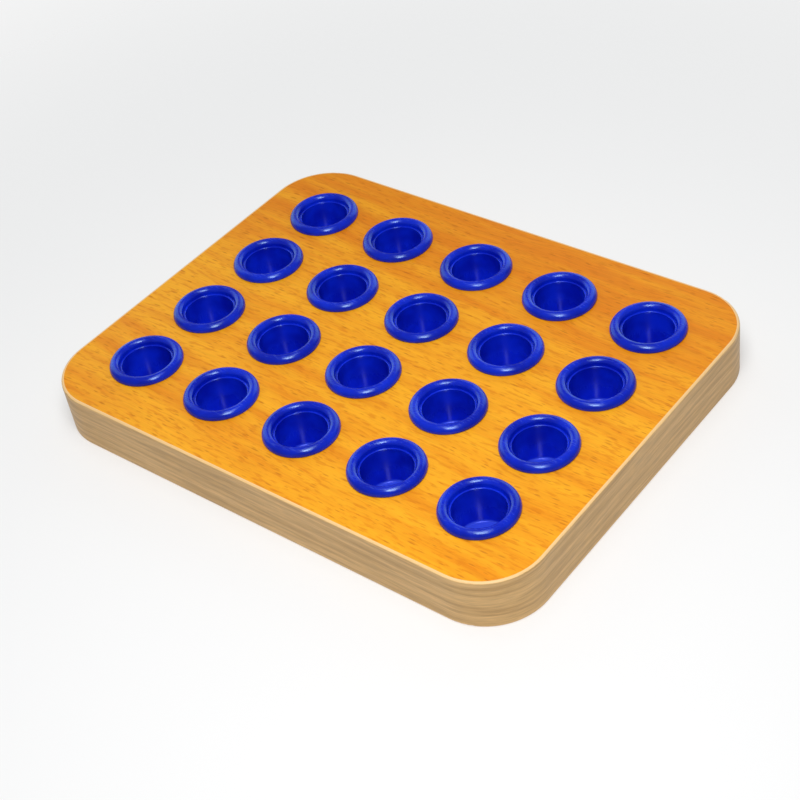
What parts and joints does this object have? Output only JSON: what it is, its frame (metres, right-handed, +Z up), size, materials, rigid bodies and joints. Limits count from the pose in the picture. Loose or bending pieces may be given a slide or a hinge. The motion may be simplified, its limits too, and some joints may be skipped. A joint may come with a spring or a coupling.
{
  "type": "test tube rack",
  "caption": "Low block rack: a rounded laminated wooden board with a grid of flanged plastic cups that hold tubes upright.",
  "frame": {"origin": "centre of the underside, on the plane the rack rests on", "axes": "+Z up out of the cups, X along the long side, Y along the short side"},
  "size_m": [0.2, 0.155, 0.022],
  "materials": {
    "core": "raw wood-based panel, hidden inside",
    "laminate": "satin beech-grain decorative laminate",
    "edging": "matte wood-print plastic edging, paler where it is trimmed",
    "cup": "glossy moulded plastic, royal blue"
  },
  "bodies": {
    "root": {"bottom_laminate": "laminate", "base_board": "core", "socket_board": "core", "top_laminate": "laminate", "edge_band": "edging", "tube_cup_a1": "cup", "tube_cup_a2": "cup", "tube_cup_a3": "cup", "tube_cup_a4": "cup", "tube_cup_a5": "cup", "tube_cup_b1": "cup", "tube_cup_b2": "cup", "tube_cup_b3": "cup", "tube_cup_b4": "cup", "tube_cup_b5": "cup", "tube_cup_c1": "cup", "tube_cup_c2": "cup", "tube_cup_c3": "cup", "tube_cup_c4": "cup", "tube_cup_c5": "cup", "tube_cup_d1": "cup", "tube_cup_d2": "cup", "tube_cup_d3": "cup", "tube_cup_d4": "cup", "tube_cup_d5": "cup"}
  },
  "joints": []
}
